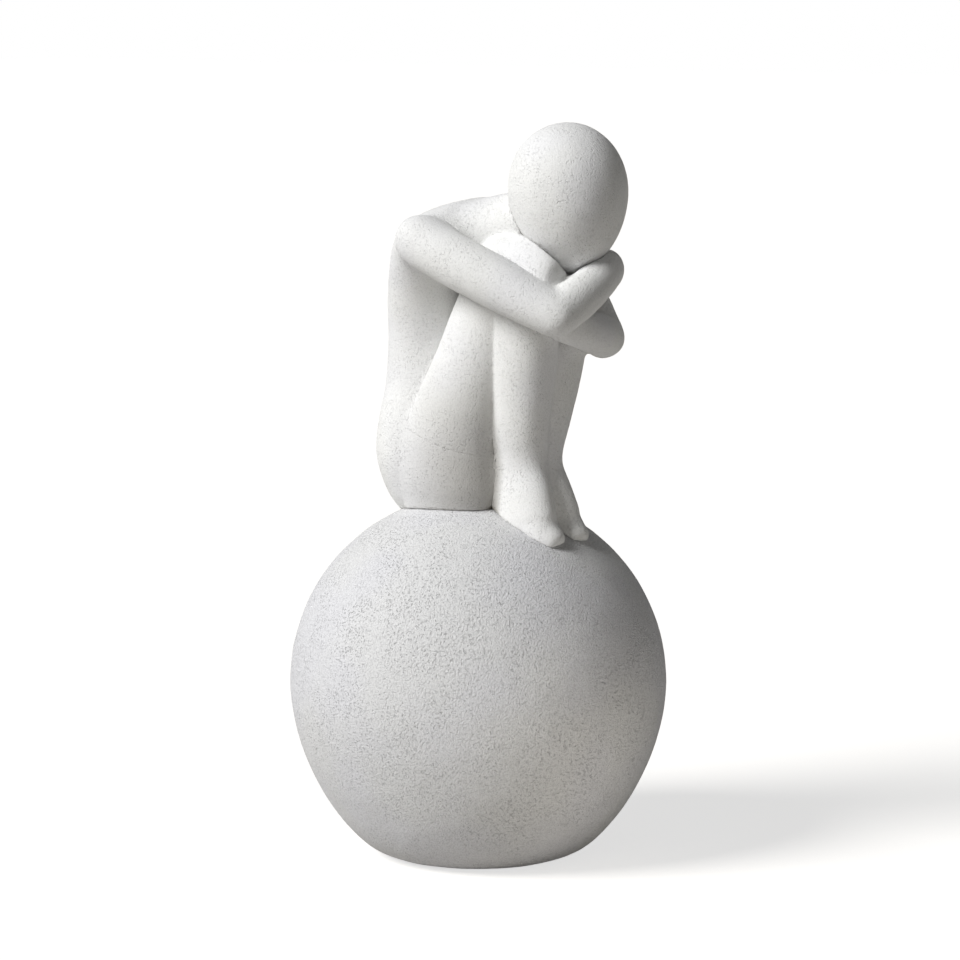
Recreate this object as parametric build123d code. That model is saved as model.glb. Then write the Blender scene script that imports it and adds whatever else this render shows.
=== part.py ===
from build123d import *
import math
import os

# A faceless seated figure that hugs its knees on a ball: resin castings glued and pinned together.
# Millimetres, +Z up. The origin is the bottom centre of the foot pad, and the figure faces -Y.
# Places on the figure are (across, ahead, up): +X is its left, ahead is -Y, up starts at the ball's top.

os.makedirs("parts", exist_ok=True)

# Ball, a hollow casting with a flat foot
BALL_D = 92.0
FOOT_D = 42.4
BALL_WALL = 6.0
BALL_FLOOR = 7.5
CENTRE_share = 0.912  # height of the ball's centre over its foot, of the ball's radius
FLANK_share = 0.453  # how far the flank's curve leads down, of the centre's height
FOOT_EASE_share = 0.413  # how far the foot's curve leads out, of the step from foot to radius
INNER_FOOT_share = 0.8  # the hollow's flat floor, of the foot's diameter

# Felt pad in its recess, and the stopper of the filling hole
PAD_D = 37.0
PAD_T = 1.5
PAD_RECESS = 1.0
PAD_GAP = 0.15
HOLE_D = 20.0
HOLE_TAPER = 1.5
STOPPER_HEAD_D = 26.0
STOPPER_HEAD_T = 2.0
STOPPER_RISE = 2.5
STOPPER_GAP = 0.1

# Plaster fill
FILL_H = 44.0
FILL_GAP = 0.2

# Pins: two from the ball up into the hips, one from the neck into the head
PIN_D = 3.0
PIN_GAP = 0.1
SEAT_PIN_L = 24.0
SEAT_PIN_SPREAD = 12.0
SEAT_PIN_BACK = 11.5
SEAT_PIN_EMBED = 12.0
BOSS_L = 34.0
BOSS_W = 17.0
BOSS_DEPTH = 14.0
BOSS_ROUND = 5.0
PIN_END_GAP = 0.5
NECK_PIN_L = 15.0
NECK_PIN_EMBED = 6.0

# Figure: overall height above the ball, width across the upper arms, depth from back to forearms
FIGURE_H = 91.0
FIGURE_W = 55.0
FIGURE_D = 66.0
GLUE_LINE = 0.06
OVERRUN = 1.0

# Head, an egg with its narrow end down
HEAD_L = 35.6
HEAD_D = 28.4
HEAD_TILT = 7.0
WIDEST_share = 0.44  # height of the widest place under the crown, of the head's length
CROWN_EASE_share = 0.56
JAW_EASE_share = 0.52
CHIN_EASE_share = 0.46
HEAD_share = (0.0, 0.411, 0.802)  # the egg's middle

# Girths, each the full width or depth that its table's shares are of
TORSO_W = 34.0
TORSO_T = 26.0
THIGH_W = 19.6
THIGH_T = 22.2
CALF_W = 15.6
CALF_T = 16.4
FOOT_W = 9.8
FOOT_T = 15.0
FOOT_SINK = 1.2  # how deep the foot's middle line lies under the ball's surface
ARM_D = 13.2
FOREARM_D = 10.4

# Rings of a limb's loft stand this far apart, of its end's half-thickness, as do those of its domes
RING_STEP_share = math.pi / 6
SAMPLES = 12  # points read between two rows of a table

# Tables of places, as (across, ahead, up, width, depth): shares of half the figure's width, of its
# depth and of its height, then of the limb's two girths
TORSO_shares = (
    (0.0, -0.172, -0.060, 0.58, 0.58),
    (0.0, -0.184, -0.005, 0.78, 0.78),
    (0.0, -0.192, 0.055, 0.94, 0.93),
    (0.0, -0.194, 0.125, 1.00, 1.00),
    (0.0, -0.196, 0.205, 0.94, 0.95),
    (0.0, -0.197, 0.300, 0.81, 0.84),
    (0.0, -0.194, 0.405, 0.78, 0.81),
    (0.0, -0.181, 0.500, 0.88, 0.83),
    (0.0, -0.150, 0.585, 1.06, 0.81),
    (0.0, -0.102, 0.648, 1.28, 0.79),
    (0.0, -0.035, 0.680, 1.42, 0.72),
    (0.0, 0.045, 0.694, 1.06, 0.69),
    (0.0, 0.120, 0.706, 0.73, 0.67),
    (0.0, 0.195, 0.720, 0.64, 0.66),
    (0.0, 0.270, 0.734, 0.59, 0.64),
    (0.0, 0.340, 0.746, 0.54, 0.58),
)
THIGH_shares = (
    (0.262, -0.052, -0.075, 0.50, 1.10),
    (0.308, -0.044, 0.042, 0.88, 1.25),
    (0.322, -0.031, 0.134, 0.94, 1.20),
    (0.313, 0.008, 0.227, 0.91, 1.02),
    (0.295, 0.075, 0.359, 0.86, 0.88),
    (0.271, 0.147, 0.502, 0.81, 0.79),
    (0.255, 0.238, 0.634, 0.79, 0.74),
)
HIP_CUT_share = 0.155  # height of the glue face across the thigh
HIP_CUT_AHEAD_share = 0.010
CALF_shares = (
    (0.255, 0.285, 0.635, 0.97, 0.96),
    (0.233, 0.286, 0.513, 1.00, 1.01),
    (0.200, 0.273, 0.381, 0.96, 0.99),
    (0.153, 0.245, 0.222, 0.82, 0.88),
    (0.108, 0.229, 0.134, 0.74, 0.85),
    (0.108, 0.230, 0.075, 0.70, 0.89),
    (0.138, 0.250, 0.015, 0.70, 0.97),
    (0.168, 0.268, -0.040, 0.70, 1.04),
    (0.180, 0.285, -0.110, 0.62, 0.90),
)
# The foot lies on the ball: (across, ahead, width, thickness), the last two of its own girths
FOOT_shares = (
    (0.175, 0.200, 0.84, 0.82),
    (0.180, 0.262, 0.96, 1.00),
    (0.178, 0.320, 1.00, 0.84),
    (0.172, 0.368, 0.90, 0.62),
)
RIGHT_UPPER_shares = (
    (-0.748, -0.015, 0.689, 0.97, 0.97),
    (-0.730, 0.120, 0.647, 0.95, 0.96),
    (-0.660, 0.280, 0.594, 0.92, 0.92),
    (-0.570, 0.415, 0.545, 0.85, 0.86),
    (-0.500, 0.510, 0.512, 0.78, 0.78),
)
RIGHT_FOREARM_shares = (
    (-0.500, 0.510, 0.512, 0.98, 0.98),
    (-0.260, 0.528, 0.548, 0.98, 0.95),
    (0.000, 0.528, 0.586, 0.93, 0.88),
    (0.210, 0.518, 0.618, 0.92, 0.76),
)
LEFT_UPPER_shares = (
    (0.748, -0.015, 0.689, 0.97, 0.97),
    (0.735, 0.108, 0.632, 0.96, 0.96),
    (0.670, 0.228, 0.560, 0.92, 0.92),
    (0.590, 0.332, 0.482, 0.84, 0.85),
    (0.530, 0.404, 0.428, 0.77, 0.78),
)
LEFT_FOREARM_shares = (
    (0.530, 0.404, 0.428, 0.97, 0.97),
    (0.280, 0.440, 0.446, 0.92, 0.92),
    (0.020, 0.455, 0.463, 0.86, 0.84),
    (-0.200, 0.455, 0.478, 0.80, 0.74),
)

# Worked out from the sizes above
PAD_PROUD = PAD_T - PAD_RECESS
BALL_R = BALL_D / 2
CENTRE_Z = PAD_PROUD + CENTRE_share * BALL_R
BALL_TOP = CENTRE_Z + BALL_R
UP = Vector(0, 0, 1)
ACROSS = Vector(1, 0, 0)


def spot(across, ahead, up):
    """A place on the figure, from its shares."""
    return Vector(across * FIGURE_W / 2, -ahead * FIGURE_D, BALL_TOP + up * FIGURE_H)


def ball_surface(x, y):
    """Height of the ball's surface at that place."""
    return CENTRE_Z + math.sqrt(max(BALL_R**2 - x**2 - y**2, 0))


def upright(radius, height, bottom):
    """A cylinder on the Z axis, from its bottom up."""
    return Pos(0, 0, bottom + height / 2) * Cylinder(radius, height)


def oval(centre, normal, width, depth, along):
    """An ellipse across a limb, its width laid along the given direction."""
    side = along - normal * along.dot(normal)
    return Plane(origin=centre, x_dir=side, z_dir=normal) * Ellipse(width / 2, depth / 2)


def between(rows, place):
    """A table's row at a place between two rows, on a smooth curve through all of them."""
    i = min(int(place), len(rows) - 2)
    t = place - i
    before, start, end, after = (rows[min(max(k, 0), len(rows) - 1)] for k in range(i - 1, i + 3))
    row = []
    for p, q, r, u in zip(before, start, end, after):
        bend, twist = 2 * p - 5 * q + 4 * r - u, 3 * q - p - 3 * r + u
        row.append(q + ((r - p) * t + bend * t**2 + twist * t**3) / 2)
    return row


def evened(rows, step):
    """The table's curve read again at even steps along its length."""
    fine = [between(rows, i / SAMPLES) for i in range(SAMPLES * (len(rows) - 1) + 1)]
    run = [0.0]
    for a, b in zip(fine, fine[1:]):
        run.append(run[-1] + math.dist(a[:3], b[:3]))
    count = max(round(run[-1] / step), 2)
    even, k = [], 0
    for n in range(count + 1):
        goal = run[-1] * n / count
        while k < len(run) - 2 and run[k + 1] < goal:
            k += 1
        t = (goal - run[k]) / (run[k + 1] - run[k])
        even.append([a + (b - a) * t for a, b in zip(fine[k], fine[k + 1])])
    return even


def dome(centre, normal, width, depth, along, outward):
    """The ovals of a limb's rounded end, from its widest out to the tip."""
    reach = min(width, depth) / 2
    cap = []
    for k in range(1, round(math.pi / 2 / RING_STEP_share)):
        angle = k * RING_STEP_share
        at = centre + normal * (outward * reach * math.sin(angle))
        cap.append(oval(at, normal, width * math.cos(angle), depth * math.cos(angle), along))
    return cap + [Vertex(*(centre + normal * (outward * reach)))]


def limb(rows, along, grow, far_dome=True):
    """A loft through evenly spaced ovals with domed ends. A row is (x, y, z, width, depth)."""
    ends = [min(row[3:]) / 2 for row in (rows[0], rows[-1])]
    rows = evened(rows, RING_STEP_share * sum(ends) / 2)
    points = [Vector(*row[:3]) for row in rows]
    rings = []
    for i, row in enumerate(rows):
        normal = (points[min(i + 1, len(rows) - 1)] - points[max(i - 1, 0)]).normalized()
        rings.append((points[i], normal, row[3] + 2 * grow, row[4] + 2 * grow))
    ovals = dome(*rings[0], along, -1)[::-1] + [oval(*ring, along) for ring in rings]
    if far_dome:
        ovals += dome(*rings[-1], along, 1)
    return loft(ovals)


def rows_of(shares, width, depth, side=1):
    """Turns a table of shares into rows in millimetres; side -1 mirrors it to the figure's right."""
    return [[*spot(side * a, b, c), w * width, d * depth] for a, b, c, w, d in shares]


def seated(body, *neighbours):
    """What a body keeps once its neighbours are cut out of it."""
    for neighbour in neighbours:
        body -= neighbour
    return body


def casting(shape):
    """What a cut leaves as the casting: its largest solid, without crumbs."""
    return max(shape.solids(), key=lambda solid: solid.volume)


def ball_body(radius, foot_r, floor_z):
    """A ball that is round above its centre and eases down to a flat foot."""
    drop = CENTRE_Z - floor_z
    side = (radius, CENTRE_Z)
    flank = (radius, CENTRE_Z - FLANK_share * drop)
    ease = (foot_r + FOOT_EASE_share * (radius - foot_r), floor_z)
    outline = [
        ThreePointArc((0, CENTRE_Z + radius), (radius * math.sin(math.pi / 4),
                      CENTRE_Z + radius * math.cos(math.pi / 4)), side),
        Bezier(side, flank, ease, (foot_r, floor_z)),
        Polyline((foot_r, floor_z), (0, floor_z), (0, CENTRE_Z + radius)),
    ]
    return revolve(Plane.XZ * make_face(outline), Axis.Z)


def ball_sphere(grow):
    """The round part of the ball, which everything above it is cut by."""
    return Pos(0, 0, CENTRE_Z) * Sphere(BALL_R + grow)


def head_body(grow):
    """The head's egg: crown, widest ring and narrow chin."""
    radius, length = HEAD_D / 2 + grow, HEAD_L + 2 * grow
    crown = WIDEST_share * length
    chin = length - crown
    outline = [
        Bezier((0, crown), (CROWN_EASE_share * radius, crown),
               (radius, CROWN_EASE_share * crown), (radius, 0)),
        Bezier((radius, 0), (radius, -JAW_EASE_share * chin),
               (CHIN_EASE_share * radius, -chin), (0, -chin)),
        Line((0, -chin), (0, crown)),
    ]
    egg = revolve(Plane.XZ * make_face(outline), Axis.Z)
    middle = spot(*HEAD_share)
    return Pos(*middle) * Rot(-HEAD_TILT, 0, 0) * Pos(0, 0, length / 2 - crown) * egg


def torso_loft(grow):
    """Seat, waist, chest and shoulders, leaning over into the neck."""
    return limb(rows_of(TORSO_shares, TORSO_W, TORSO_T), ACROSS, grow, far_dome=False)


def hip_plane():
    """The glue face across the thigh, square to it."""
    low, high = spot(*THIGH_shares[2][:3]), spot(*THIGH_shares[3][:3])
    run = Vector(0, high.Y - low.Y, high.Z - low.Z)
    return Plane(origin=spot(0, HIP_CUT_AHEAD_share, HIP_CUT_share), x_dir=ACROSS, z_dir=run)


def thigh(side, grow):
    return limb(rows_of(THIGH_shares, THIGH_W, THIGH_T, side), ACROSS, grow)


def half_space(plane, gap):
    """A block on the plane's far side, as large as the figure."""
    size = FIGURE_H + FIGURE_D
    return plane * Pos(0, 0, size / 2 + gap) * Box(2 * size, 2 * size, size)


def torso_bodies(grow):
    """The torso and both thigh roots that are cast with it."""
    roots = [thigh(side, grow) - half_space(hip_plane(), grow) for side in (-1, 1)]
    return [torso_loft(grow), *roots]


def foot(side):
    """The foot, following the ball's slope."""
    rows = []
    for across, ahead, width, height in FOOT_shares:
        place = spot(side * across, ahead, 0)
        level = ball_surface(place.X, place.Y) - FOOT_SINK
        rows.append([place.X, place.Y, level, width * FOOT_W, height * FOOT_T])
    return limb(rows, ACROSS, 0)


def leg_body(side):
    """Thigh from its glue face, knee, calf and foot, seated on the ball."""
    upper = thigh(side, 0) & half_space(hip_plane(), 0)
    lower = limb(rows_of(CALF_shares, CALF_W, CALF_T, side), ACROSS, 0) - ball_cut
    return lower + (foot(side) - ball_cut) + upper


def arm_body(upper_shares, forearm_shares, grow):
    """Upper arm, elbow and forearm with its mitten hand."""
    upper = limb(rows_of(upper_shares, ARM_D, ARM_D), UP, grow)
    fore = limb(rows_of(forearm_shares, FOREARM_D, FOREARM_D), UP, grow)
    return upper + fore


def keep_side(side, gap):
    """The space on one side of the middle, less half the glue line."""
    return half_space(Plane(origin=(0, 0, BALL_TOP), z_dir=(side, 0, 0)), gap / 2)


def seat_pins(radius, extra):
    """Both seat pins, or their holes."""
    seat = ball_surface(SEAT_PIN_SPREAD / 2, SEAT_PIN_BACK)
    pin = upright(radius, SEAT_PIN_L + 2 * extra, seat - SEAT_PIN_EMBED - extra)
    return [Pos(side * SEAT_PIN_SPREAD / 2, SEAT_PIN_BACK, 0) * pin for side in (-1, 1)]


def neck_pin(radius, extra):
    """The pin from the neck into the head, or its hole."""
    start, end = (spot(*row[:3]) for row in TORSO_shares[-3:-1])
    run = (end - start).normalized()
    middle = start + run * (NECK_PIN_L / 2 - NECK_PIN_EMBED)
    return Plane(origin=middle, z_dir=run) * Cylinder(radius, NECK_PIN_L + 2 * extra)


def stopper_body(grow):
    """The stopper's head and its tapered stem, standing on the pad."""
    head_r, stem_r = STOPPER_HEAD_D / 2 + grow, HOLE_D / 2 - STOPPER_GAP + grow
    shoulder = PAD_T + STOPPER_HEAD_T + grow
    top = PAD_PROUD + BALL_FLOOR + STOPPER_RISE + grow
    outline = Polyline((0, PAD_T), (head_r, PAD_T), (head_r, shoulder), (stem_r, shoulder),
                       (stem_r - HOLE_TAPER, top), (0, top), close=True)
    return revolve(Plane.XZ * make_face(outline), Axis.Z)


def hollow(gap):
    """The space inside the ball, over its floor."""
    foot_r = INNER_FOOT_share * FOOT_D / 2 - gap
    return ball_body(BALL_R - BALL_WALL - gap, foot_r, PAD_PROUD + BALL_FLOOR)


# The ball and what it holds
boss_bottom = BALL_TOP - BALL_WALL - BOSS_DEPTH
boss_plan = Pos(0, SEAT_PIN_BACK, boss_bottom) * RectangleRounded(BOSS_L, BOSS_W, BOSS_ROUND)
boss = extrude(boss_plan, BALL_TOP - boss_bottom)
pin_hole_r = PIN_D / 2 + PIN_GAP
ball_shell = ball_body(BALL_R, FOOT_D / 2, PAD_PROUD) - (hollow(0) - boss)
ball_shell -= upright(PAD_D / 2 + PAD_GAP, PAD_RECESS + OVERRUN, PAD_PROUD - OVERRUN)
ball_shell -= stopper_body(STOPPER_GAP)
ball_shell -= seat_pins(pin_hole_r, PIN_END_GAP)

fill_top = PAD_PROUD + BALL_FLOOR + FILL_H
ball_fill = hollow(FILL_GAP) & upright(BALL_R, fill_top, 0)
ball_fill -= stopper_body(STOPPER_GAP)

# The figure's castings, each cut to fit the ones before it
ball_cut = ball_sphere(GLUE_LINE)
head_cut = head_body(GLUE_LINE)
right_cut = arm_body(RIGHT_UPPER_shares, RIGHT_FOREARM_shares, GLUE_LINE)
left_cut = arm_body(LEFT_UPPER_shares, LEFT_FOREARM_shares, GLUE_LINE)
torso_cuts = torso_bodies(GLUE_LINE)

neck_hole = neck_pin(pin_hole_r, PIN_END_GAP)
head = head_body(0) - neck_hole
right_arm = arm_body(RIGHT_UPPER_shares, RIGHT_FOREARM_shares, 0) - head_cut
left_arm = arm_body(LEFT_UPPER_shares, LEFT_FOREARM_shares, 0) - head_cut - right_cut
chest, right_root, left_root = (
    seated(body, ball_cut, head_cut, right_cut, left_cut) for body in torso_bodies(0))
torso = chest + right_root + left_root
torso = seated(torso, *seat_pins(pin_hole_r, PIN_END_GAP), neck_hole)


def leg_casting(side):
    """One leg, cut to the torso, both arms, the head and the other leg."""
    leg = leg_body(side) & keep_side(side, GLUE_LINE)
    return seated(leg, *torso_cuts, right_cut, left_cut, head_cut)


pieces = {
    "ball_shell": casting(ball_shell),
    "ball_fill": casting(ball_fill),
    "stopper": stopper_body(0),
    "foot_pad": upright(PAD_D / 2, PAD_T, 0),
    "seat_pins": Compound(children=seat_pins(PIN_D / 2, 0)),
    "neck_pin": neck_pin(PIN_D / 2, 0),
    "head": casting(head),
    "right_arm": casting(right_arm),
    "left_arm": casting(left_arm),
    "torso": casting(torso),
    "right_leg": casting(leg_casting(-1)),
    "left_leg": casting(leg_casting(1)),
}
for name, piece in pieces.items():
    export_step(piece, f"parts/{name}.step")
    print(f"{name}: {len(piece.solids())} solid(s), {piece.volume:.1f} mm3")
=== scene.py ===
"""Finishes the seated figure on its ball: puttied castings, sandstone-effect resin, felt pad and studio."""

import math
from functools import cached_property

import bpy
import numpy as np
from bpy.props import FloatProperty, FloatVectorProperty, IntProperty, PointerProperty
from bpy.types import Operator, Panel, PropertyGroup
from mathutils import Matrix, Vector
from mathutils.bvhtree import BVHTree


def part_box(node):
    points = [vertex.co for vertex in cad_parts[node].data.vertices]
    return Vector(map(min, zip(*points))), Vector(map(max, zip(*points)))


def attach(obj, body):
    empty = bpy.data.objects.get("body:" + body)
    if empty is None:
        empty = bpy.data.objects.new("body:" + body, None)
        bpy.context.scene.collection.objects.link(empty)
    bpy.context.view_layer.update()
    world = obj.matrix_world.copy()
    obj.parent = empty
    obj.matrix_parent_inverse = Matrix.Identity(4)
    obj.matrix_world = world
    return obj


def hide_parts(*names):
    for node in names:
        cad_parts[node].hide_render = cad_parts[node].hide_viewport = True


bl_info = {
    "name": "Seated Figure on a Ball",
    "version": (1, 0, 0),
    "blender": (4, 5, 0),
    "location": "View3D > Sidebar > Figurine",
    "description": "Finishes a sandstone-effect resin figure that sits on a ball",
    "category": "Object",
}

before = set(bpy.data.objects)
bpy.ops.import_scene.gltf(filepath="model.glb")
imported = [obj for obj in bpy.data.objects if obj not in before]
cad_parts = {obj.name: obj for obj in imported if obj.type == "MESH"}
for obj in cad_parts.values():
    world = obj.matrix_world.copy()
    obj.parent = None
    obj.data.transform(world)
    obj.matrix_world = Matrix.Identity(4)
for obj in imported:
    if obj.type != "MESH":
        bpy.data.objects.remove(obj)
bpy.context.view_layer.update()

MM = 0.001
LIMBS = ("torso", "right_arm", "left_arm", "right_leg", "left_leg")
CASTINGS = LIMBS + ("head", "ball")
REPLACED = {"ball": "ball_shell"}
BALL_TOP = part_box("ball_shell")[1].z
BALL_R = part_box("ball_shell")[1].x
BALL_MIDDLE = Vector((0, 0, BALL_TOP - BALL_R))
FIGURE_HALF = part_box("left_arm")[1].x
FIGURE_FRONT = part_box("head")[0].y
FIGURE_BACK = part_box("torso")[1].y
FIGURE_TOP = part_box("head")[1].z


def spot(across, back, up):
    """A place in the figure's box: across from -1 to 1, back and up from 0 to 1, up from the ball's top."""
    return Vector((
        across * FIGURE_HALF,
        FIGURE_FRONT + back * (FIGURE_BACK - FIGURE_FRONT),
        BALL_TOP + up * (FIGURE_TOP - BALL_TOP),
    ))


# Where putty rounds the joins: a place in the figure's box, how far the putty reaches, and its strength
BROAD_PUTTY = (
    ((0.74, 0.68, 0.69), 18 * MM, 1.0),
    ((-0.74, 0.68, 0.69), 18 * MM, 1.0),
    ((0.60, 0.62, 0.06), 20 * MM, 1.0),
    ((-0.60, 0.62, 0.06), 20 * MM, 1.0),
    ((0.0, 0.25, 0.60), 12 * MM, 1.0),
)
FINE_PUTTY = (
    ((0.32, 0.60, 0.15), 15 * MM, 1.0),
    ((-0.32, 0.60, 0.15), 15 * MM, 1.0),
    ((0.0, 0.22, 0.46), 11 * MM, 0.8),
    ((0.0, 0.24, 0.32), 10 * MM, 0.4),
    ((0.17, 0.28, -0.01), 7 * MM, 0.9),
    ((-0.17, 0.28, -0.01), 7 * MM, 0.9),
    ((0.30, 0.34, 0.65), 9 * MM, 0.8),
    ((-0.30, 0.34, 0.65), 9 * MM, 0.8),
    ((-0.50, 0.13, 0.52), 9 * MM, 0.7),
    ((0.53, 0.22, 0.44), 9 * MM, 0.7),
    ((0.0, 0.44, 0.73), 9 * MM, 0.6),
)
# Edges that are rubbed round: a place, how far the rubbing reaches, and its strength
RUBBED = (
    ((0.18, 0.18, -0.09), 7 * MM, 0.5),
    ((-0.18, 0.18, -0.09), 7 * MM, 0.5),
    ((0.68, 0.55, 0.74), 10 * MM, 1.0),
    ((-0.68, 0.55, 0.74), 10 * MM, 1.0),
    ((0.87, 0.66, 0.63), 10 * MM, 1.0),
    ((-0.87, 0.66, 0.63), 10 * MM, 1.0),
)
PUTTY_WEAR_share = 0.12  # how much of a putty smoothing that lowers the surface is kept
# Both knees are drawn toward the chin: the place on the left one, how far it reaches, and the shift
KNEE, KNEE_REACH, KNEE_SHIFT = (0.30, 0.20, 0.61), 12 * MM, (2.5 * MM, -5 * MM, -0.5 * MM)
KNEE_SIDES = {"right_leg": -1, "left_leg": 1}
# The hollow of the ball lies this far inside and above the foot, and keeps this share of its faces
HOLLOW_DEEP, HOLLOW_LOW, HOLLOW_FACES_share = 5 * MM, 3 * MM, 0.12
WHOLE_MESH_share = 1.25  # mesh of the joined castings, which finds their creases, to the figure's mesh
PAD_ROUND_share = 0.2  # rounding of the pad's edges to its thickness
PAD_FUZZ_share = (0.05, 0.3)  # heights in the pad's thickness between which its fuzz begins
FUZZ_SIZE_share = 2.0  # size of the felt's fuzz to its height
# Sizes of what shows in the cast resin
GRAIN, PIT, SPECK, PATCH, TINT = 0.42 * MM, 0.5 * MM, 0.55 * MM, 9 * MM, 24 * MM
# Painted shade at the seat, where the lower thigh turns from the light: it fades out above it and toward the
# back, and in front of the calves
SEAT_UP = (BALL_TOP + 6 * MM, BALL_TOP + 38 * MM)
SEAT_BACK = (-10 * MM, 16 * MM)
CALF_BACK = (-15 * MM, -12 * MM)


class FigurineSizes(PropertyGroup):
    """Sizes of the finish."""

    limb_mesh: FloatProperty(
        name="Limb mesh", description="Edge length of the figure's meshes", default=0.4 * MM, unit="LENGTH")
    ball_mesh: FloatProperty(
        name="Ball mesh", description="Edge length of the ball's mesh", default=0.7 * MM, unit="LENGTH")
    broad_passes: IntProperty(
        name="Broad putty", description="Smoothing passes at the shoulders and hips", default=650)
    fine_passes: IntProperty(
        name="Fine putty", description="Smoothing passes at the knees and elbows", default=110)
    rub_passes: IntProperty(
        name="Rubbing", description="Smoothing passes at the toes and the arms' tops", default=140)
    skin_passes: IntProperty(
        name="Skin", description="Smoothing passes all over the figure", default=4)
    overlap: FloatProperty(
        name="Overlap", description="How far glued pieces grow into each other", default=0.12 * MM,
        unit="LENGTH")
    crease_passes: IntProperty(
        name="Crease passes", description="Smoothing passes that find the creases", default=12)
    valley_passes: IntProperty(
        name="Valley passes", description="Smoothing passes that find the wide valleys", default=400)
    sand_height: FloatProperty(
        name="Sand", description="Height of the cast sandy texture", default=0.04 * MM, unit="LENGTH")
    sand_size: FloatProperty(
        name="Sand size", description="Size of the cast sandy texture", default=1.1 * MM, unit="LENGTH")
    wave_height: FloatProperty(
        name="Unevenness", description="Height of the hand-finished unevenness", default=0.22 * MM,
        unit="LENGTH")
    wave_size: FloatProperty(
        name="Wave size", description="Size of the hand-finished unevenness", default=9 * MM, unit="LENGTH")
    felt_fuzz: FloatProperty(
        name="Felt fuzz", description="Height of the felt's fuzz", default=0.1 * MM, unit="LENGTH")


class FigurineColours(PropertyGroup):
    """Colours of the finish, and the studio's light."""

    figure: FloatVectorProperty(
        name="Figure", description="Resin of the figure", subtype="COLOR", default=(0.85, 0.85, 0.835))
    ball: FloatVectorProperty(
        name="Ball", description="Resin of the ball", subtype="COLOR", default=(0.75, 0.75, 0.75))
    sand: FloatVectorProperty(
        name="Sand", description="Dark grains in the resin", subtype="COLOR", default=(0.17, 0.17, 0.18))
    # Dark colour of the wash and the pits, and of the painted shade in the creases, the wide valleys and at
    # the seat
    wash: FloatVectorProperty(
        name="Wash", description="Dark wash in the creases", subtype="COLOR", default=(0.20, 0.18, 0.145))
    felt: FloatVectorProperty(
        name="Felt", description="Foot pad", subtype="COLOR", default=(0.035, 0.035, 0.038))
    plaster: FloatVectorProperty(
        name="Plaster", description="Filling of the ball", subtype="COLOR", default=(0.83, 0.81, 0.77))
    rubber: FloatVectorProperty(
        name="Stopper", description="Rubber stopper", subtype="COLOR", default=(0.74, 0.74, 0.72))
    steel: FloatVectorProperty(
        name="Pins", description="Steel pins", subtype="COLOR", default=(0.56, 0.55, 0.54))
    key_light: FloatProperty(
        name="Key light", description="Strength of the soft key light", default=3.5)
    low_card: FloatProperty(
        name="Low card", description="Strength of the warm card low beside the ball", default=0.010)
    fill_light: FloatProperty(
        name="Fill light", description="Strength of the light from all round", default=0.07)


def deselect():
    bpy.ops.object.select_all(action="DESELECT")


def choose(thing):
    """Makes one object the only selected one."""
    deselect()
    thing.select_set(True)
    bpy.context.view_layer.objects.active = thing


def copy_of(node, name):
    """A merged copy of a CAD node's mesh as a new object."""
    piece = bpy.data.objects.new(name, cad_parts[node].data.copy())
    bpy.context.scene.collection.objects.link(piece)
    choose(piece)
    bpy.ops.object.mode_set(mode="EDIT")
    bpy.ops.mesh.select_all(action="SELECT")
    bpy.ops.mesh.remove_doubles(threshold=MM / 1000)
    bpy.ops.mesh.normals_make_consistent(inside=False)
    bpy.ops.object.mode_set(mode="OBJECT")
    bpy.ops.mesh.customdata_custom_splitnormals_clear()
    return piece


def joined(pieces, name):
    """One object of several; the given ones are used up."""
    choose(pieces[0])
    for piece in pieces:
        piece.select_set(True)
    bpy.ops.object.join()
    whole = bpy.context.view_layer.objects.active
    whole.name = name
    return whole


def duplicate(piece, name):
    twin = bpy.data.objects.new(name, piece.data.copy())
    bpy.context.scene.collection.objects.link(twin)
    return twin


def remesh(piece, edge):
    """Gives a piece an even mesh and unites what overlaps in it."""
    choose(piece)
    piece.data.remesh_voxel_size = edge
    piece.data.remesh_voxel_adaptivity = 0
    bpy.ops.object.voxel_remesh()


def finish_modifier(piece, kind, **settings):
    """Adds a modifier and applies it."""
    choose(piece)
    modifier = piece.modifiers.new(kind.title(), kind)
    for key, value in settings.items():
        setattr(modifier, key, value)
    bpy.ops.object.modifier_apply(modifier=modifier.name)


def places(mesh):
    """The vertices' places as an array."""
    flat = np.empty(len(mesh.vertices) * 3, np.float32)
    mesh.vertices.foreach_get("co", flat)
    return flat.reshape(-1, 3)


def directions(mesh):
    """The vertices' normals as an array."""
    flat = np.empty(len(mesh.vertices) * 3, np.float32)
    mesh.vertex_normals.foreach_get("vector", flat)
    return flat.reshape(-1, 3)


def surface_tree(piece):
    """A tree that finds the nearest place on a piece."""
    mesh = piece.data
    faces = [tuple(polygon.vertices) for polygon in mesh.polygons]
    return BVHTree.FromPolygons([tuple(place) for place in places(mesh)], faces)


def weigh(piece, name, weights):
    """A vertex group with these weights."""
    group = piece.vertex_groups.new(name=name)
    for i in np.flatnonzero(weights > 0.01):
        group.add([int(i)], float(weights[i]), "REPLACE")


def ease(low, high, values):
    """Rises smoothly from 0 at low to 1 at high."""
    t = np.clip((values - low) / (high - low), 0, 1)
    return t * t * (3 - 2 * t)


def draw_knee(leg, side):
    """Draws a leg's knee toward the chin; the side is 1 for the left and -1 for the right."""
    across, back, up = KNEE
    out, behind, above = KNEE_SHIFT
    moved = places(leg.data)
    away = np.linalg.norm(moved - np.array(spot(side * across, back, up)), axis=1)
    share = 1 - ease(0.25 * KNEE_REACH, KNEE_REACH, away)
    moved += share[:, None] * np.array((side * out, behind, above), np.float32)
    leg.data.vertices.foreach_set("co", moved.ravel())
    leg.data.update()


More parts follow.
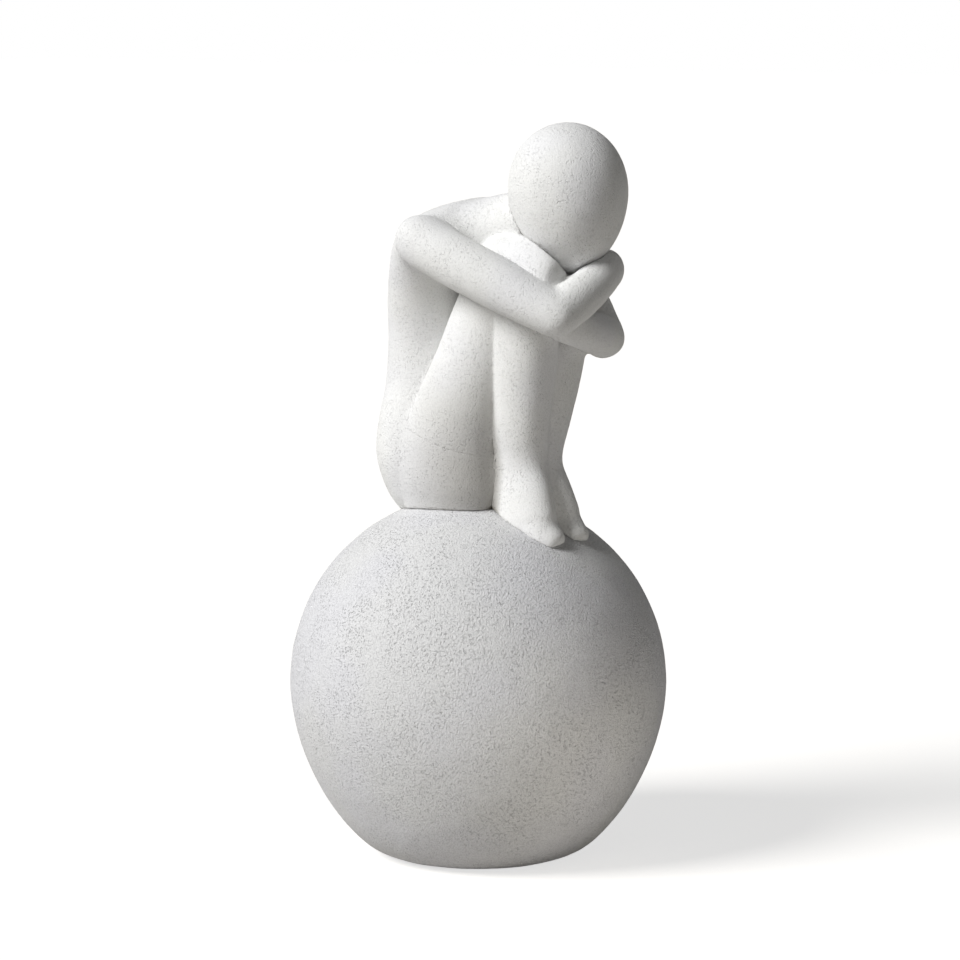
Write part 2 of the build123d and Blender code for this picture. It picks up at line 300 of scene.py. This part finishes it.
def fill_with_putty(skin, joins, passes, wear_share=PUTTY_WEAR_share):
    """Smooths the skin at these joins: valleys fill, and only a share of what is lowered is kept."""
    before = places(skin.data)
    outward = directions(skin.data)
    weights = np.zeros(len(before), np.float32)
    for place, reach, strength in joins:
        away = np.linalg.norm(before - np.array(spot(*place)), axis=1)
        weights = np.maximum(weights, strength * (1 - ease(0.5 * reach, reach, away)))
    weigh(skin, "putty", weights)
    finish_modifier(skin, "SMOOTH", factor=0.5, iterations=passes, vertex_group="putty")
    skin.vertex_groups.clear()
    rise = np.einsum("ij,ij->i", places(skin.data) - before, outward)
    filled = before + outward * np.where(rise > 0, rise, wear_share * rise)[:, None]
    skin.data.vertices.foreach_set("co", filled.ravel())
    skin.data.update()


def wrap(piece, plain, skin, edge):
    """Lays a piece's open sides on the puttied skin; its glued sides stay inside."""
    depths = np.array([plain.find_nearest(Vector(place))[3] for place in places(piece.data)])
    weigh(piece, "open", 1 - ease(0.7 * edge, 1.7 * edge, depths))
    finish_modifier(piece, "SHRINKWRAP", target=skin, wrap_method="NEAREST_SURFACEPOINT", vertex_group="open")
    piece.vertex_groups.clear()


def cast_texture(piece, sizes):
    """Sandy texture and slight unevenness in the cast surface."""
    for name, size, height in (
        ("sand", sizes.sand_size, sizes.sand_height),
        ("wave", sizes.wave_size, sizes.wave_height),
    ):
        texture = bpy.data.textures.get(name) or bpy.data.textures.new(name, "CLOUDS")
        texture.noise_scale = size
        texture.noise_depth = 1
        finish_modifier(piece, "DISPLACE", texture=texture, texture_coords="GLOBAL", strength=height,
                        mid_level=0.5)


def smooth_shaded(piece):
    choose(piece)
    bpy.ops.object.shade_smooth()


class FIGURINE_OT_limbs(Operator):
    """Torso, arms and legs, with putty over their joins"""

    bl_idname = "figurine.limbs"
    bl_label = "Torso and limbs"

    def execute(self, context):
        sizes = context.scene.figurine_sizes
        castings = []
        for node in LIMBS:
            piece = copy_of(node, "casting_" + node)
            remesh(piece, sizes.limb_mesh)
            if node in KNEE_SIDES:
                draw_knee(piece, KNEE_SIDES[node])
            finish_modifier(piece, "DISPLACE", strength=sizes.overlap, mid_level=0)
            castings.append(piece)
        skin = joined([duplicate(piece, "skin") for piece in castings], "skin")
        remesh(skin, sizes.limb_mesh)
        plain = surface_tree(skin)
        fill_with_putty(skin, BROAD_PUTTY, sizes.broad_passes)
        fill_with_putty(skin, FINE_PUTTY, sizes.fine_passes)
        fill_with_putty(skin, RUBBED, sizes.rub_passes, wear_share=1.0)
        finish_modifier(skin, "SMOOTH", factor=0.5, iterations=sizes.skin_passes)
        for piece in castings:
            wrap(piece, plain, skin, sizes.limb_mesh)
        bpy.data.objects.remove(skin)
        return {"FINISHED"}


class FIGURINE_OT_head(Operator):
    """The plain egg of the head"""

    bl_idname = "figurine.head"
    bl_label = "Head"

    def execute(self, context):
        remesh(copy_of("head", "casting_head"), context.scene.figurine_sizes.limb_mesh)
        return {"FINISHED"}


class FIGURINE_OT_ball(Operator):
    """The ball's shell"""

    bl_idname = "figurine.ball"
    bl_label = "Ball"

    def execute(self, context):
        piece = copy_of("ball_shell", "casting_ball")
        remesh(piece, context.scene.figurine_sizes.ball_mesh)
        # The hollow needs fewer faces than the outside
        found = places(piece.data)
        inside = np.linalg.norm(found - np.array(BALL_MIDDLE), axis=1) < BALL_R - HOLLOW_DEEP
        inside &= found[:, 2] > HOLLOW_LOW
        choose(piece)
        bpy.ops.object.mode_set(mode="EDIT")
        bpy.ops.mesh.select_all(action="DESELECT")
        bpy.ops.object.mode_set(mode="OBJECT")
        piece.data.vertices.foreach_set("select", inside)
        bpy.ops.object.mode_set(mode="EDIT")
        bpy.ops.mesh.decimate(ratio=HOLLOW_FACES_share)
        bpy.ops.object.mode_set(mode="OBJECT")
        return {"FINISHED"}


class FIGURINE_OT_wash_and_shade(Operator):
    """The cast texture of every casting, and the depths of its creases and valleys, where its finish paints
    shade and a dark wash
    """

    bl_idname = "figurine.wash"
    bl_label = "Texture and wash"

    def execute(self, context):
        sizes = context.scene.figurine_sizes
        castings = {name: bpy.data.objects["casting_" + name] for name in CASTINGS}
        copies = [duplicate(casting, "whole_" + name) for name, casting in castings.items()]
        whole = joined(copies, "whole")
        remesh(whole, sizes.limb_mesh * WHOLE_MESH_share)
        tree = surface_tree(whole)
        corners = np.array([tuple(face.vertices)[:3] for face in whole.data.polygons])
        before, outward = places(whole.data), directions(whole.data)
        depths = {}
        # How deep each place lies in a crease and in a wide valley; the resin paints shade and a dark wash
        # there
        for layer, passes in (("crease", sizes.crease_passes), ("valley", sizes.valley_passes)):
            finish_modifier(whole, "SMOOTH", factor=0.5, iterations=passes)
            depths[layer] = np.einsum("ij,ij->i", places(whole.data) - before, outward) / MM
        for name, casting in castings.items():
            found = [tree.find_nearest(Vector(place))[2] for place in places(casting.data)]
            for layer, depth in depths.items():
                hollow = casting.data.attributes.new(layer, "FLOAT", "POINT")
                hollow.data.foreach_set("value", depth[corners[found]].mean(axis=1).astype(np.float32))
            cast_texture(casting, sizes)
            smooth_shaded(casting)
            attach(casting, "root")
            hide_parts(REPLACED.get(name, name))
            resin = "ball_resin" if name == "ball" else "figure_resin"
            casting.data.materials.clear()
            casting.data.materials.append(material(resin))
        bpy.data.objects.remove(whole)
        return {"FINISHED"}


class FIGURINE_OT_pad(Operator):
    """The felt pad under the foot"""

    bl_idname = "figurine.pad"
    bl_label = "Felt pad"

    def execute(self, context):
        sizes = context.scene.figurine_sizes
        low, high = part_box("foot_pad")
        thick, radius = high.z - low.z, (high.x - low.x) / 2
        deselect()
        bpy.ops.mesh.primitive_cylinder_add(
            vertices=120, radius=radius, depth=thick, location=(low + high) / 2)
        pad = context.object
        pad.name = "felt_pad"
        bpy.ops.object.transform_apply(location=True, rotation=True, scale=True)
        bpy.ops.object.mode_set(mode="EDIT")
        bpy.ops.mesh.select_all(action="SELECT")
        bpy.ops.mesh.select_mode(type="EDGE")
        bpy.ops.mesh.edges_select_sharp(sharpness=math.radians(60))
        bpy.ops.mesh.bevel(offset=PAD_ROUND_share * thick, segments=3)
        bpy.ops.object.mode_set(mode="OBJECT")
        remesh(pad, sizes.limb_mesh)
        fuzz = bpy.data.textures.new("fuzz", "CLOUDS")
        fuzz.noise_scale = FUZZ_SIZE_share * sizes.felt_fuzz
        low_share, high_share = PAD_FUZZ_share
        weigh(pad, "edge", ease(low_share * thick, high_share * thick, places(pad.data)[:, 2]))
        finish_modifier(pad, "DISPLACE", texture=fuzz, texture_coords="GLOBAL", strength=sizes.felt_fuzz,
                        mid_level=1.0, vertex_group="edge")
        pad.vertex_groups.clear()
        smooth_shaded(pad)
        pad.data.materials.clear()
        pad.data.materials.append(material("felt"))
        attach(pad, "root")
        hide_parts("foot_pad")
        return {"FINISHED"}


class FIGURINE_OT_inside(Operator):
    """Finishes of what the ball and the castings hold: plaster, stopper and pins"""

    bl_idname = "figurine.inside"
    bl_label = "Inner pieces"

    def execute(self, context):
        for node, slot in (("ball_fill", "plaster"), ("stopper", "stopper_rubber"),
                           ("seat_pins", "pin_steel"), ("neck_pin", "pin_steel")):
            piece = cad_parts[node]
            piece.material_slots[0].material = material(slot)
        return {"FINISHED"}


class Wire:
    """An output of a shader node, so that sums of outputs are written as sums."""

    def __init__(self, paint, socket):
        self.paint = paint
        self.socket = socket

    def maths(self, operation, *values):
        return self.paint.node("ShaderNodeMath", {"operation": operation}, *values)

    def __add__(self, other):
        return self.maths("ADD", self, other)

    def __sub__(self, other):
        return self.maths("SUBTRACT", self, other)

    def __rsub__(self, other):
        return self.maths("SUBTRACT", other, self)

    def __mul__(self, other):
        return self.maths("MULTIPLY", self, other)

    def clamped(self):
        return self.paint.node("ShaderNodeClamp", {}, self)

    __radd__ = __add__
    __rmul__ = __mul__


class Paint:
    """The shader nodes of a material or a world while it is mixed."""

    def __init__(self, block):
        block.use_nodes = True
        self.tree = block.node_tree

    @cached_property
    def place(self):
        """The place on the object."""
        return self.node("ShaderNodeTexCoord", {}, output="Object")

    def node(self, kind, settings, *values, output=0, **named):
        """Adds a node, sets it, feeds its sockets and gives the wire of its output."""
        node = self.tree.nodes.new(kind)
        for key, value in settings.items():
            setattr(node, key, value)
        for key, value in [*enumerate(values), *named.items()]:
            self.feed(node, key, value)
        return Wire(self, node.outputs[output])

    def feed(self, node, key, value):
        """Links or sets one input, found by its number, name or identifier."""
        by_name = {**{s.name: s for s in reversed(node.inputs)}, **{s.identifier: s for s in node.inputs}}
        socket = node.inputs[key] if isinstance(key, int) else by_name[key]
        if isinstance(value, Wire):
            self.tree.links.new(value.socket, socket)
        elif hasattr(socket.default_value, "__len__") and len(value) < len(socket.default_value):
            socket.default_value = (*value, 1)
        else:
            socket.default_value = value

    def noise(self, size, detail=2.0, roughness=0.5):
        """Soft noise whose lumps are about this size."""
        return self.node("ShaderNodeTexNoise", {}, Vector=self.place, Scale=1 / size, Detail=detail,
                         Roughness=roughness)

    def step(self, value, low, high, low_out=0.0, high_out=1.0):
        """Rises smoothly between two values."""
        return self.node("ShaderNodeMapRange", {"interpolation_type": "SMOOTHSTEP"}, value, low, high,
                         low_out, high_out)

    def mix(self, share, first, second):
        """Mixes two colours."""
        return self.node("ShaderNodeMix", {"data_type": "RGBA"}, output=2, Factor_Float=share,
                         A_Color=first, B_Color=second)

    def along(self, axis):
        """How far along one axis."""
        return self.node("ShaderNodeSeparateXYZ", {}, self.place, output=axis)

    def attribute(self, name):
        return self.node("ShaderNodeAttribute", {"attribute_name": name}, output="Fac")

    def background_ray(self):
        """1 for the rays that see the background in its own white, and 0 for the others."""
        seen = 0.0
        for ray in BACKGROUND_RAYS:
            path = self.node("ShaderNodeLightPath", {}, output=ray)
            seen = path.maths("MAXIMUM", path, seen)
        return seen

    def coat(self, colour, roughness, height, depth, **constants):
        """Feeds the surface shader."""
        surface = self.tree.nodes["Principled BSDF"]
        self.feed(surface, "Base Color", colour)
        self.feed(surface, "Roughness", roughness)
        for key, value in constants.items():
            self.feed(surface, key, value)
        bump = self.node("ShaderNodeBump", {}, output="Normal", Strength=1.0, Distance=depth, Height=height)
        self.feed(surface, "Normal", bump)


def sandstone(paint, colour, colours, contrast, speckle, relief, wash, seat_shade):
    """Cast resin with sandy grain, dark grains in patches, a wash and painted shade in its hollows, and
    painted shade at the seat.
    """
    grain = paint.noise(GRAIN, 2, 0.7)
    patches = paint.noise(PATCH, 2)
    tint = paint.noise(TINT, 1)
    specks = paint.step(paint.noise(SPECK, 1), 0.60, 0.68) * paint.step(patches, 0.30, 0.62, 0.25, 1.0)
    crease, valley = paint.attribute("crease"), paint.attribute("valley")
    pits = paint.step(valley, 0.8, 2.4) * paint.step(paint.noise(PIT, 2, 0.7), 0.54, 0.68)
    cool = (colour[0] * 0.985, colour[1] * 0.985, colour[2] * 1.01)
    ground = paint.mix(paint.step(tint, 0.38, 0.62), cool, colour)
    sand_share = ((grain - 0.5) * contrast + contrast * 0.06 + specks * speckle).clamped()
    sandy = paint.mix(sand_share, ground, colours.sand)
    # Painted shade at the seat: darkest low down and toward the front, fading out above, toward the back and
    # in front of the calves
    up, back = paint.along("Z"), paint.along("Y")
    seat = paint.step(up, *SEAT_UP, 1.0, 0.0) * paint.step(back, *SEAT_BACK, 1.0, 0.0)
    seat = seat * paint.step(back, *CALF_BACK)
    # Painted shade in the creases and wide valleys, with a dark wash; the pits are dark pits in the resin
    hollow = paint.step(crease, 0.18, 0.50) * 0.12 + paint.step(valley, 0.5, 3.0) * 0.42 + pits * 0.25
    washed_and_shaded = paint.mix((hollow * wash + seat * seat_shade).clamped(), sandy, colours.wash)
    height = grain - specks * 0.8 - pits
    paint.coat(washed_and_shaded, paint.step(grain, 0.2, 0.8, 0.82, 0.97), height, depth=relief)


def figure_resin(paint, colours):
    """Pale and fine, with a wash and painted shade in all its hollows, and painted shade at the seat."""
    sandstone(paint, colours.figure, colours, contrast=0.42, speckle=0.035, relief=0.16 * MM, wash=1.0,
              seat_shade=0.52)


def ball_resin(paint, colours):
    """Greyer and coarser, with less wash and painted shade in its hollows."""
    sandstone(paint, colours.ball, colours, contrast=0.95, speckle=0.09, relief=0.32 * MM, wash=0.35,
              seat_shade=0.0)


def felt(paint, colours):
    """Pressed wool: short crossing fibres."""
    fibres = paint.node("ShaderNodeTexNoise", {}, Vector=paint.place, Scale=1 / (0.25 * MM), Detail=4,
                        Roughness=0.8, Distortion=2.0)
    pale = tuple(3 * part for part in colours.felt)
    colour = paint.mix(paint.step(fibres, 0.35, 0.75), colours.felt, pale)
    paint.coat(colour, 0.95, fibres, depth=0.15 * MM)


def plaster(paint, colours):
    """Poured plaster: chalky, with air holes."""
    chalk = paint.noise(2.5 * MM, 4, 0.6)
    holes = paint.node("ShaderNodeTexVoronoi", {}, Vector=paint.place, Scale=1 / (3.2 * MM), Randomness=1.0)
    pits = paint.step(holes, 0.12, 0.2)
    dark = tuple(0.6 * part for part in colours.plaster)
    colour = paint.mix(paint.step(chalk, 0.3, 0.7) * 0.3 + (1 - pits) * 0.5, colours.plaster, dark)
    paint.coat(colour, 0.95, chalk * 0.5 + pits, depth=0.3 * MM)


def stopper_rubber(paint, colours):
    """Moulded rubber, faintly mottled."""
    mottle = paint.noise(1.4 * MM, 3)
    dark = tuple(0.82 * part for part in colours.rubber)
    colour = paint.mix(paint.step(mottle, 0.35, 0.65), colours.rubber, dark)
    paint.coat(colour, paint.step(mottle, 0.3, 0.7, 0.5, 0.65), mottle, depth=0.03 * MM)


def pin_steel(paint, colours):
    """Drawn wire: fine scores along it."""
    stretched = paint.node("ShaderNodeMapping", {}, Vector=paint.place, Scale=(1, 1, 0.04))
    scores = paint.node("ShaderNodeTexNoise", {}, Vector=stretched, Scale=1 / (0.12 * MM), Detail=2)
    dark = tuple(0.6 * part for part in colours.steel)
    colour = paint.mix(paint.step(scores, 0.3, 0.7), dark, colours.steel)
    paint.coat(colour, paint.step(scores, 0.3, 0.7, 0.28, 0.45), scores, depth=0.01 * MM, Metallic=1.0)


FINISHES = {
    "figure_resin": figure_resin,
    "ball_resin": ball_resin,
    "felt": felt,
    "plaster": plaster,
    "stopper_rubber": stopper_rubber,
    "pin_steel": pin_steel,
}


def material(slot):
    """The finish of a slot, mixed when it is first asked for."""
    made = bpy.data.materials.get(slot + "_paint")
    if made is None:
        made = bpy.data.materials.new(slot + "_paint")
        FINISHES[slot](Paint(made), bpy.context.scene.figurine_colours)
    return made


# The photograph's view
CAMERA_PLACE = Vector((-0.695923, -0.544244, 0.214178))
CAMERA_RIGHT = Vector((0.61566, -0.78801, 0.0))
CAMERA_UP = Vector((0.10803, 0.08440, 0.99056))
CAMERA_AHEAD = Vector((0.78057, 0.60985, -0.13709))
CAMERA_LENS = 137.57
SENSOR = 36.0
# Where the lights are: to the camera's right, up and ahead; the card is measured from the ball's middle
SUN_FROM_share = (-0.72, 0.58, -0.50)
SUN_ANGLE = math.radians(26)
CARD_FROM = (55 * MM, -36 * MM, -85 * MM)
CARD_SIZE = 30 * MM
CARD_COLOUR = (1.0, 0.94, 0.84)
FLOOR_HALF = 6.0
FLOOR_COLOUR = (0.50, 0.485, 0.46)
FLOOR_GLOW = 0.68  # what the floor adds to its own light where the background is seen
BACKGROUND_RAYS = ("Is Camera Ray", "Is Glossy Ray", "Is Transmission Ray")


def in_view(right, up, ahead):
    """A direction as the camera sees it."""
    return CAMERA_RIGHT * right + CAMERA_UP * up + CAMERA_AHEAD * ahead


class FIGURINE_OT_stage(Operator):
    """Pale floor, soft light from the upper left and the photograph's camera"""

    bl_idname = "figurine.stage"
    bl_label = "Studio"

    def execute(self, context):
        scene = context.scene
        scene.view_settings.view_transform = "Standard"
        self.camera(scene)
        self.floor()
        self.light(scene)
        self.surroundings(scene)
        return {"FINISHED"}

    def camera(self, scene):
        lens = bpy.data.cameras.new("camera")
        lens.lens = CAMERA_LENS
        lens.sensor_width = SENSOR
        camera = bpy.data.objects.new("camera", lens)
        scene.collection.objects.link(camera)
        turned = Matrix((CAMERA_RIGHT, CAMERA_UP, -CAMERA_AHEAD)).transposed().to_4x4()
        camera.matrix_world = Matrix.Translation(CAMERA_PLACE) @ turned
        scene.camera = camera

    def floor(self):
        deselect()
        bpy.ops.mesh.primitive_plane_add(size=2 * FLOOR_HALF, location=(0, 0, 0))
        floor = bpy.context.object
        floor.name = "floor"
        pale = bpy.data.materials.new("floor")
        paint = Paint(pale)
        dull = paint.node("ShaderNodeBsdfDiffuse", {}, Color=FLOOR_COLOUR, output="BSDF")
        glow = paint.node("ShaderNodeEmission", {}, Color=(1, 1, 1), output="Emission",
                          Strength=paint.background_ray() * FLOOR_GLOW)
        both = paint.node("ShaderNodeAddShader", {}, dull, glow, output="Shader")
        paint.feed(paint.tree.nodes["Material Output"], "Surface", both)
        floor.data.materials.append(pale)

    def light(self, scene):
        colours = scene.figurine_colours
        self.lamp(scene, "key_light", "SUN", in_view(*SUN_FROM_share), energy=colours.key_light,
                  angle=SUN_ANGLE)
        toward = in_view(*CARD_FROM)
        card = self.lamp(scene, "low_card", "AREA", toward, energy=colours.low_card, size=CARD_SIZE,
                         color=CARD_COLOUR)
        card.location = BALL_MIDDLE + toward

    def lamp(self, scene, name, kind, toward, **settings):
        """A lamp that shines from this direction."""
        light = bpy.data.lights.new(name, kind)
        for key, value in settings.items():
            setattr(light, key, value)
        lamp = bpy.data.objects.new(name, light)
        scene.collection.objects.link(lamp)
        lamp.rotation_euler = toward.to_track_quat("Z", "Y").to_euler()
        return lamp

    def surroundings(self, scene):
        scene.world = bpy.data.worlds.new("surroundings")
        paint = Paint(scene.world)
        fill = scene.figurine_colours.fill_light
        background = paint.tree.nodes["Background"]
        paint.feed(background, "Color", (1, 1, 1))
        paint.feed(background, "Strength", paint.background_ray() * (1 - fill) + fill)


STEPS = (FIGURINE_OT_limbs, FIGURINE_OT_head, FIGURINE_OT_ball, FIGURINE_OT_wash_and_shade, FIGURINE_OT_pad,
         FIGURINE_OT_inside, FIGURINE_OT_stage)


class FIGURINE_PT_panel(Panel):
    """Lists the steps that finish the figurine"""

    bl_idname = "FIGURINE_PT_panel"
    bl_label = "Seated figure"
    bl_space_type = "VIEW_3D"
    bl_region_type = "UI"
    bl_category = "Figurine"

    def draw(self, context):
        column = self.layout.column()
        for step in STEPS:
            column.operator(step.bl_idname)
        for group in (context.scene.figurine_sizes, context.scene.figurine_colours):
            for name in group.__annotations__:
                column.prop(group, name)


CLASSES = (FigurineSizes, FigurineColours, *STEPS, FIGURINE_PT_panel)


def register():
    for kind in CLASSES:
        bpy.utils.register_class(kind)
    bpy.types.Scene.figurine_sizes = PointerProperty(type=FigurineSizes)
    bpy.types.Scene.figurine_colours = PointerProperty(type=FigurineColours)


def unregister():
    del bpy.types.Scene.figurine_colours
    del bpy.types.Scene.figurine_sizes
    for kind in reversed(CLASSES):
        bpy.utils.unregister_class(kind)


def main():
    register()
    bpy.ops.figurine.limbs()
    bpy.ops.figurine.head()
    bpy.ops.figurine.ball()
    bpy.ops.figurine.wash()
    bpy.ops.figurine.pad()
    bpy.ops.figurine.inside()
    bpy.ops.figurine.stage()


if __name__ == "__main__":
    main()
